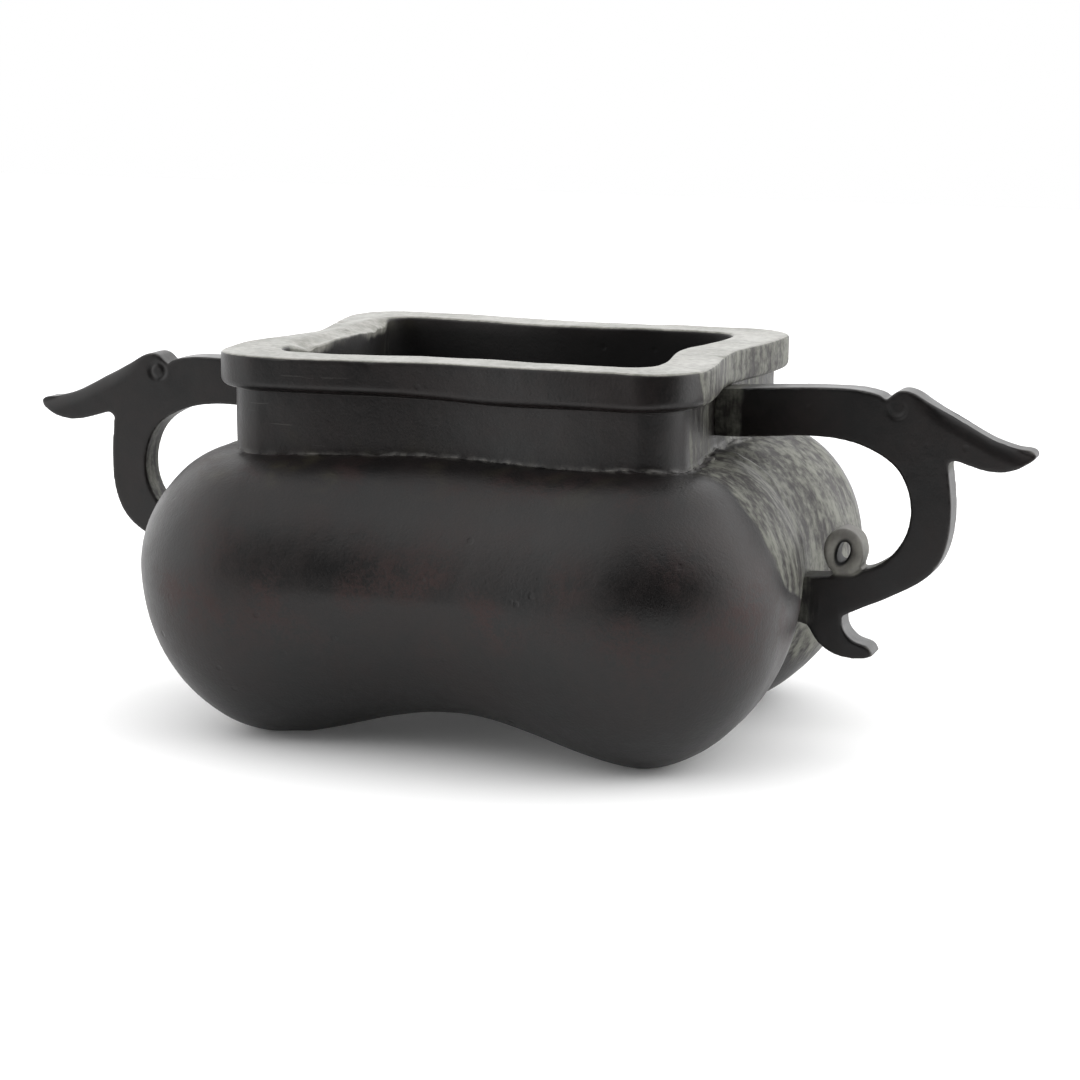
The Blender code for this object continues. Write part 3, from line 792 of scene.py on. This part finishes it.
def handle_masks(mesh, fit, chased):
    """Where a handle's patina differs and where shade is painted black in the curl's hole, as numbers at its points."""
    points, normals = read_points(mesh), read_points(mesh, "normal")
    x, _, z = (points / MM).T
    x = x * fit["side"]
    sideways = smooth_step(0.5, 0.85, 1.0 - np.abs(normals[:, 1]))
    facing_in = smooth_step(0.1, 0.6, -normals[:, 0] * fit["side"])
    curl = smooth_step(CURL_REACH + 0.3, CURL_REACH - 0.5, chased["radius"]) * smooth_step(36.3, 37.6, z)
    root = np.where(x < 58.0, 0.95, 0.55) * chased["rough"]
    grime = np.maximum(1.0 * curl, root * (0.85 + 0.3 * waves(points, 4.0 * MM, 36)))
    grime = np.maximum(grime, 0.85 * sideways * facing_in * smooth_step(66.0, 72.0, x) * smooth_step(72.0, 60.0, z))
    throat = np.hypot(x - placed((97.3, 62.1), fit)[0], z - placed((97.3, 62.1), fit)[1])
    grime = np.maximum(grime, 0.8 * bell(throat, 0.0, 1.8) * sideways)
    low = smooth_step(62.0, 34.0, z)
    grime = np.clip(grime, 0.0, 1.0) * (1.0 - chased["hollow"])
    return {"grime": grime, "curl": curl * (1.0 - chased["hollow"]), "low": low,
            "hollow": np.maximum(chased["hollow"], 0.5 * chased["eye"])}


def make_handle(name, fit, settings):
    """One plate handle."""
    sizes = settings.handles
    mesh = filed_plate(name, fit, sizes)
    chased = chase_handle(mesh, fit, sizes)
    mesh.shade_smooth()
    for mask, values in handle_masks(mesh, fit, chased).items():
        store(mesh, mask, values)
    store(mesh, "bend", bend_at_points(mesh, 2))
    points = np.clip(read_points(mesh), *(np.array(corner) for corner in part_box(name)))
    write_points(mesh, points)
    material = bpy.data.materials.get("handle_patina") or handle_patina(settings.finish)
    return new_piece("bronze_" + name, mesh, name, material)


# Materials


class Shades:
    """Short ways to add nodes to a node tree and to join them."""

    def __init__(self, tree):
        self.tree = tree

    def add(self, kind, sockets=None, **settings):
        """A node of a kind, with its settings, and numbers or links for its inputs."""
        node = self.tree.nodes.new("ShaderNode" + kind)
        for name, value in settings.items():
            setattr(node, name, value)
        for name, value in (sockets or {}).items():
            self.feed(node.inputs[name], value)
        return node

    def feed(self, socket, value):
        """Give an input a number, a colour or another node's output."""
        if isinstance(value, bpy.types.NodeSocket):
            self.tree.links.new(value, socket)
        elif isinstance(value, (int, float)):
            socket.default_value = value
        else:
            value = tuple(value)
            socket.default_value = value + (1.0,) if len(socket.default_value) == 4 else value

    def number(self, name):
        """A number kept at the mesh's points."""
        return self.add("Attribute", attribute_name=name).outputs["Fac"]

    def sum(self, operation, *values, clamp=False):
        """Two or three values put together."""
        return self.add("Math", dict(enumerate(values)), operation=operation, use_clamp=clamp).outputs[0]

    def rise(self, value, low, high, bottom=0.0, top=1.0):
        """A smooth change from bottom to top as a value goes from low to high."""
        return self.add("MapRange", {"Value": value, "From Min": low, "From Max": high, "To Min": bottom,
                                     "To Max": top}, interpolation_type="SMOOTHSTEP").outputs["Result"]

    def blend(self, share, first, second, blend_type="MIX"):
        """The first colour turned into the second by a share."""
        return self.add("Mix", {0: share, 6: first, 7: second}, data_type="RGBA",
                        blend_type=blend_type).outputs[2]

    def noise(self, size, detail=3.0, place=None, roughness=0.55):
        """Cloudy noise with features of a size in metres."""
        sockets = {"Scale": 0.5 / size, "Detail": detail, "Roughness": roughness}
        sockets["Vector"] = place or self.place()
        return self.add("TexNoise", sockets).outputs["Fac"]

    def place(self, stretch=(1.0, 1.0, 1.0), turn=(0.0, 0.0, 0.0)):
        """The place on the object, stretched along its axes."""
        spot = self.add("TexCoord").outputs["Object"]
        return self.add("Mapping", {"Vector": spot, "Rotation": turn, "Scale": stretch}).outputs["Vector"]

    def use(self, group, sockets=None):
        """A node group with its values."""
        node = self.add("Group", node_tree=group)
        for name, value in (sockets or {}).items():
            self.feed(node.inputs[name], value)
        return node.outputs


def new_group(name, inputs, outputs):
    """An empty node group, with helpers to fill it and its two ends."""
    tree = bpy.data.node_groups.new(name, "ShaderNodeTree")
    for title, (kind, default) in inputs.items():
        socket = tree.interface.new_socket(title, in_out="INPUT", socket_type="NodeSocket" + kind)
        socket.default_value = default
    for title, kind in outputs.items():
        tree.interface.new_socket(title, in_out="OUTPUT", socket_type="NodeSocket" + kind)
    return Shades(tree), tree.nodes.new("NodeGroupInput").outputs, tree.nodes.new("NodeGroupOutput").inputs


def group(name, make):
    """The node group of a name, made when it is first asked for."""
    return bpy.data.node_groups.get(name) or make(name)


def cast_grain(name):
    """The fine skin of old bronze: grain, soft waves and a few pits."""
    shades, given, out = new_group(name, {"Grain": ("Float", 1.0), "Pits": ("Float", 1.0)},
                                   {"Height": "Float", "Tone": "Float", "Pit Mask": "Float"})
    fine = shades.noise(0.00030, 2.0)
    coarse = shades.noise(0.0016, 3.0)
    cells = shades.add("TexVoronoi", {"Scale": 210.0, "Vector": shades.place()}).outputs["Distance"]
    few = shades.rise(shades.noise(0.006, 2.0), 0.54, 0.66)
    pit = shades.sum("MULTIPLY", shades.rise(cells, 0.20, 0.08), few)
    pit = shades.sum("MULTIPLY", pit, given["Pits"])
    grain = shades.sum("MULTIPLY", shades.sum("ADD", fine, shades.sum("MULTIPLY", coarse, 1.4)), given["Grain"])
    shades.feed(out["Height"], shades.sum("SUBTRACT", shades.sum("MULTIPLY", grain, 0.35), pit))
    shades.feed(out["Tone"], shades.sum("ADD", shades.sum("MULTIPLY", fine, 0.45), shades.sum("MULTIPLY", coarse, 0.55)))
    shades.feed(out["Pit Mask"], pit)
    return shades.tree


def scratches(name):
    """Fine scratches from cleaning, mostly level and slanting a little."""
    shades, given, out = new_group(name, {"Amount": ("Float", 1.0)}, {"Mask": "Float"})
    first = shades.noise(0.0004, 2.0, shades.place((0.06, 0.06, 1.0), (0.0, math.radians(18.0), 0.0)))
    second = shades.noise(0.0004, 2.0, shades.place((0.08, 0.08, 1.0), (0.0, math.radians(-11.0), 0.3)))
    where = shades.rise(shades.noise(0.011, 2.0), 0.50, 0.66)
    both = shades.sum("MAXIMUM", shades.rise(first, 0.66, 0.74), shades.rise(second, 0.67, 0.75))
    shades.feed(out["Mask"], shades.sum("MULTIPLY", shades.sum("MULTIPLY", both, where), given["Amount"]))
    return shades.tree


def edge_wear(name):
    """Patina rubbed thin where the surface bends sharply, broken up by noise."""
    shades, given, out = new_group(name, {"Bend": ("Float", 0.0), "Start": ("Float", 0.1),
                                          "Full": ("Float", 0.3), "Amount": ("Float", 1.0)},
                                   {"Mask": "Float"})
    ragged = shades.sum("ADD", given["Bend"],
                        shades.sum("MULTIPLY", shades.sum("SUBTRACT", shades.noise(0.0012, 4.0), 0.5), 0.22))
    mask = shades.add("MapRange", {"Value": ragged, "From Min": given["Start"], "From Max": given["Full"]},
                      interpolation_type="SMOOTHSTEP").outputs["Result"]
    broken = shades.rise(shades.noise(0.004, 3.0), 0.35, 0.62)
    shades.feed(out["Mask"], shades.sum("MULTIPLY", shades.sum("MULTIPLY", mask, broken), given["Amount"]))
    return shades.tree


def grey_patina(name):
    """The grey-green crust of the ends: streaks that run down, clouds and crumbs."""
    shades, given, out = new_group(name, {"Where": ("Float", 0.0), "Streak": ("Float", 1.0)},
                                   {"Mask": "Float", "Tone": "Float", "Height": "Float"})
    streaks = shades.noise(0.0011, 4.0, shades.place((1.0, 1.0, 0.16)))
    clouds = shades.noise(0.0050, 4.0)
    crumbs = shades.noise(0.0007, 3.0)
    streaks = shades.sum("MULTIPLY", shades.sum("SUBTRACT", streaks, 0.5), given["Streak"])
    ragged = shades.sum("ADD", given["Where"], shades.sum("MULTIPLY", streaks, 0.9))
    ragged = shades.sum("ADD", ragged, shades.sum("MULTIPLY", shades.sum("SUBTRACT", clouds, 0.5), 0.9))
    mask = shades.sum("MULTIPLY", shades.rise(ragged, 0.25, 0.85), shades.rise(given["Where"], 0.02, 0.2))
    tone = shades.sum("ADD", shades.sum("MULTIPLY", crumbs, 0.5), shades.sum("MULTIPLY", clouds, 0.5))
    shades.feed(out["Mask"], mask)
    shades.feed(out["Tone"], shades.sum("ADD", tone, streaks))
    shades.feed(out["Height"], shades.sum("MULTIPLY", mask, shades.sum("ADD", crumbs, clouds)))
    return shades.tree


def new_material(name):
    """A material with its shader and the helpers to fill it."""
    material = bpy.data.materials.new(name)
    material.use_nodes = True
    return material, Shades(material.node_tree), material.node_tree.nodes["Principled BSDF"]


def vessel_patina(finish):
    """Dark brown bronze, red on the belly, grey-green at the ends and worn light on the lip."""
    material, shades, shader = new_material("vessel_patina")
    grain = shades.use(group("cast_grain", cast_grain), {"Grain": 1.0, "Pits": 0.8})
    lines = shades.use(group("scratches", scratches), {"Amount": shades.number("scraped")})
    wear = shades.use(group("edge_wear", edge_wear), {"Bend": shades.number("bend"), "Start": 0.10,
                                                      "Full": 0.30, "Amount": 0.8})
    crust = shades.use(group("grey_patina", grey_patina), {"Where": shades.number("end"), "Streak": 1.0})
    top = shades.use(group("grey_patina", grey_patina), {"Where": shades.number("rim"), "Streak": 0.3})

    clouds = shades.noise(0.009, 4.0)
    tone = shades.sum("ADD", shades.sum("MULTIPLY", clouds, 0.9), shades.sum("MULTIPLY", grain["Tone"], 0.7))
    base = shades.blend(shades.rise(tone, 0.55, 1.05), finish.black, finish.brown)
    stipple = shades.sum("MULTIPLY", shades.number("red"), shades.rise(grain["Tone"], 0.36, 0.62))
    base = shades.blend(stipple, base, finish.red)
    stain = shades.sum("MULTIPLY", shades.number("stain"), shades.rise(shades.noise(0.003, 4.0), 0.40, 0.62))
    base = shades.blend(shades.sum("MULTIPLY", stain, 0.7), base, finish.olive)
    # Painted shade: the dark mask turns the underside, the crease under each handle's bar and the bowl's inside
    # near-black; it also holds the dark marks and a dark line along the grey patch's border.
    base = shades.blend(shades.sum("MULTIPLY", shades.number("dark"), 0.9), base, finish.black)
    pale = shades.blend(shades.rise(crust["Tone"], 0.30, 0.75), finish.brown, finish.grey)
    base = shades.blend(crust["Mask"], base, pale)
    bright = shades.blend(shades.rise(top["Tone"], 0.35, 0.70), finish.grey, finish.worn)
    base = shades.blend(shades.sum("MULTIPLY", top["Mask"], 0.9), base, bright)
    base = shades.blend(wear["Mask"], base, finish.worn)
    base = shades.blend(shades.sum("MULTIPLY", lines["Mask"], 0.06), base, finish.worn)
    seam = shades.sum("MULTIPLY", shades.number("joint"), shades.rise(shades.noise(0.0012, 3.0), 0.38, 0.60))
    base = shades.blend(shades.sum("MULTIPLY", seam, 0.30, clamp=True), base, finish.worn)
    base = shades.blend(shades.sum("MULTIPLY", grain["Pit Mask"], 0.5), base, finish.black)
    shades.feed(shader.inputs["Base Color"], base)

    rough = shades.rise(tone, 0.45, 1.05, 0.36, 0.47)
    rough = shades.sum("ADD", rough, shades.sum("MULTIPLY", stipple, 0.10))
    dull = shades.sum("MAXIMUM", crust["Mask"], shades.number("inside"))
    rough = shades.sum("ADD", rough, shades.sum("MULTIPLY", dull, 0.16), clamp=True)
    shades.feed(shader.inputs["Roughness"], rough)
    shader.inputs["Metallic"].default_value = 0.25

    height = shades.sum("ADD", grain["Height"], shades.sum("MULTIPLY", crust["Height"], 0.8))
    height = shades.sum("SUBTRACT", height, shades.sum("MULTIPLY", lines["Mask"], 0.25))
    bump = shades.add("Bump", {"Strength": 0.55, "Distance": 0.00022, "Height": height})
    shades.feed(shader.inputs["Normal"], bump.outputs["Normal"])
    return material


def handle_patina(finish):
    """Near-black bronze, grey along its edges and crusted in its curl and at its roots."""
    material, shades, shader = new_material("handle_patina")
    grain = shades.use(group("cast_grain", cast_grain), {"Grain": 0.7, "Pits": 0.5})
    wear = shades.use(group("edge_wear", edge_wear), {"Bend": shades.number("bend"), "Start": 0.08,
                                                      "Full": 0.26, "Amount": 0.55})
    crust = shades.use(group("grey_patina", grey_patina), {"Where": shades.number("grime"), "Streak": 0.8})

    tone = shades.sum("ADD", shades.sum("MULTIPLY", shades.noise(0.006, 4.0), 0.9),
                      shades.sum("MULTIPLY", grain["Tone"], 0.7))
    base = shades.blend(shades.rise(tone, 0.6, 1.15), finish.black, finish.brown)
    pale = shades.blend(shades.rise(crust["Tone"], 0.30, 0.75), finish.brown, finish.grey)
    base = shades.blend(crust["Mask"], base, pale)
    base = shades.blend(wear["Mask"], base, finish.worn)
    base = shades.blend(shades.sum("MULTIPLY", shades.number("curl"), 0.45), base, finish.worn)
    # Painted shade: the curl's hole goes black; the eye's engraved ring is darkened at half strength, more where it is
    # cut deeper.
    base = shades.blend(shades.number("hollow"), base, finish.black)
    shades.feed(shader.inputs["Base Color"], base)

    rough = shades.rise(tone, 0.5, 1.1, 0.34, 0.46)
    dull = shades.sum("MAXIMUM", crust["Mask"], shades.number("hollow"))
    rough = shades.sum("ADD", rough, shades.sum("MULTIPLY", dull, 0.2), clamp=True)
    shades.feed(shader.inputs["Roughness"], rough)
    shader.inputs["Metallic"].default_value = 0.25

    height = shades.sum("ADD", grain["Height"], shades.sum("MULTIPLY", crust["Height"], 0.7))
    bump = shades.add("Bump", {"Strength": 0.45, "Distance": 0.00020, "Height": height})
    shades.feed(shader.inputs["Normal"], bump.outputs["Normal"])
    return material


# Stage


def camera_axes():
    """Right, up and back of the camera."""
    azimuth, elevation, roll = (math.radians(angle) for angle in
                                (CAMERA_AZIMUTH, CAMERA_ELEVATION, CAMERA_ROLL))
    back = Vector((math.sin(azimuth) * math.cos(elevation), -math.cos(azimuth) * math.cos(elevation),
                   math.sin(elevation)))
    level = Vector((math.cos(azimuth), math.sin(azimuth), 0.0))
    upright = back.cross(level)
    right = level * math.cos(roll) + upright * math.sin(roll)
    return right, back.cross(right), back


def make_camera():
    """The camera."""
    data = bpy.data.cameras.new("camera")
    data.lens = CAMERA_LENS
    data.sensor_width = 36.0
    data.clip_start = 0.01
    camera = bpy.data.objects.new("camera", data)
    right, up, back = camera_axes()
    turned = Matrix((right, up, back)).transposed()
    camera.matrix_world = Matrix.Translation(CAMERA_PLACE) @ turned.to_4x4()
    bpy.context.scene.collection.objects.link(camera)
    bpy.context.scene.camera = camera


def make_floor(settings):
    """A plain pale floor."""
    mesh = bpy.data.meshes.new("floor")
    near, far, wide = -0.30, 1.5, 1.5
    mesh.from_pydata([(-wide, near, 0), (wide, near, 0), (wide, far, 0), (-wide, far, 0)], [], [(0, 1, 2, 3)])
    floor = bpy.data.objects.new("floor", mesh)
    bpy.context.scene.collection.objects.link(floor)
    material = bpy.data.materials.new("floor_white")
    material.use_nodes = True
    shader = material.node_tree.nodes["Principled BSDF"]
    shader.inputs["Base Color"].default_value = (*settings.floor, 1.0)
    shader.inputs["Roughness"].default_value = 0.9
    shader.inputs["Specular IOR Level"].default_value = 0.1
    shader.inputs["Emission Color"].default_value = (1.0, 1.0, 1.0, 1.0)
    shader.inputs["Emission Strength"].default_value = settings.glow
    mesh.materials.append(material)


def make_light(settings):
    """A white light tent, open and dark towards the camera below its roof."""
    world = bpy.data.worlds.new("tent")
    bpy.context.scene.world = world
    world.use_nodes = True
    world.node_tree.nodes.clear()
    shades = Shades(world.node_tree)
    way = shades.add("TexCoord").outputs["Generated"]
    azimuth = math.radians(CAMERA_AZIMUTH + OPENING_TURN)
    front = shades.add("VectorMath", {0: way, 1: (math.sin(azimuth), -math.cos(azimuth), 0.0)},
                       operation="DOT_PRODUCT").outputs["Value"]
    height = shades.add("SeparateXYZ", {0: way}).outputs["Z"]
    opening = shades.sum("MULTIPLY", shades.rise(front, *OPENING_EDGE), shades.rise(height, *ROOF_EDGE, 1.0, 0.0))
    strength = shades.rise(opening, 0.0, 1.0, settings.light, settings.light * settings.shade)
    strength = shades.sum("MULTIPLY", strength, shades.rise(height, *ZENITH_EDGE, 1.0, settings.zenith))
    across = shades.add("SeparateXYZ", {0: way}).outputs["X"]
    strength = shades.sum("MULTIPLY", strength, shades.rise(across, *RIGHT_EDGE, 1.0, settings.right))
    tent = shades.add("Background", {"Color": (1.0, 1.0, 1.0), "Strength": strength})
    backdrop = shades.add("Background", {"Color": (1.0, 1.0, 1.0)})
    seen = shades.add("LightPath").outputs["Is Camera Ray"]
    both = shades.add("MixShader", {0: seen, 1: tent.outputs[0], 2: backdrop.outputs[0]})
    shades.add("OutputWorld", {"Surface": both.outputs[0]})


class CENSER_OT_vessel(bpy.types.Operator):
    """Build the vessel"""

    bl_idname = "censer.vessel"
    bl_label = "Vessel"

    def execute(self, context):
        make_vessel(context.scene.censer)
        return {"FINISHED"}


class CENSER_OT_handles(bpy.types.Operator):
    """Build the two handles"""

    bl_idname = "censer.handles"
    bl_label = "Handles"

    def execute(self, context):
        for name, fit in HANDLE_FITS.items():
            make_handle(name, fit, context.scene.censer)
        return {"FINISHED"}


class CENSER_OT_stage(bpy.types.Operator):
    """Set up the camera, the floor and the light"""

    bl_idname = "censer.stage"
    bl_label = "Stage"

    def execute(self, context):
        make_camera()
        make_floor(context.scene.censer.stage)
        make_light(context.scene.censer.stage)
        context.scene.view_settings.view_transform = "Standard"
        return {"FINISHED"}


class CENSER_PT_panel(bpy.types.Panel):
    """The censer's sizes, finish and building steps"""

    bl_label = "Bronze Censer"
    bl_space_type = "VIEW_3D"
    bl_region_type = "UI"
    bl_category = "Censer"

    def draw(self, context):
        for step in STEPS:
            self.layout.operator(step)
        for group in ("vessel", "handles", "finish", "stage"):
            sizes = getattr(context.scene.censer, group)
            box = self.layout.box()
            for name in sizes.__annotations__:
                box.prop(sizes, name)


STEPS = ("censer.stage", "censer.vessel", "censer.handles")
CLASSES = (CenserVessel, CenserHandles, CenserFinish, CenserStage, CenserSettings,
           CENSER_OT_vessel, CENSER_OT_handles, CENSER_OT_stage, CENSER_PT_panel)


def register():
    """Register the classes and the scene's settings."""
    for item in CLASSES:
        bpy.utils.register_class(item)
    bpy.types.Scene.censer = bpy.props.PointerProperty(type=CenserSettings)


def unregister():
    """Take the settings and the classes away again."""
    del bpy.types.Scene.censer
    for item in reversed(CLASSES):
        bpy.utils.unregister_class(item)


def main():
    """Build everything."""
    register()
    bpy.ops.censer.stage()
    bpy.ops.censer.vessel()
    bpy.ops.censer.handles()


if __name__ == "__main__":
    main()
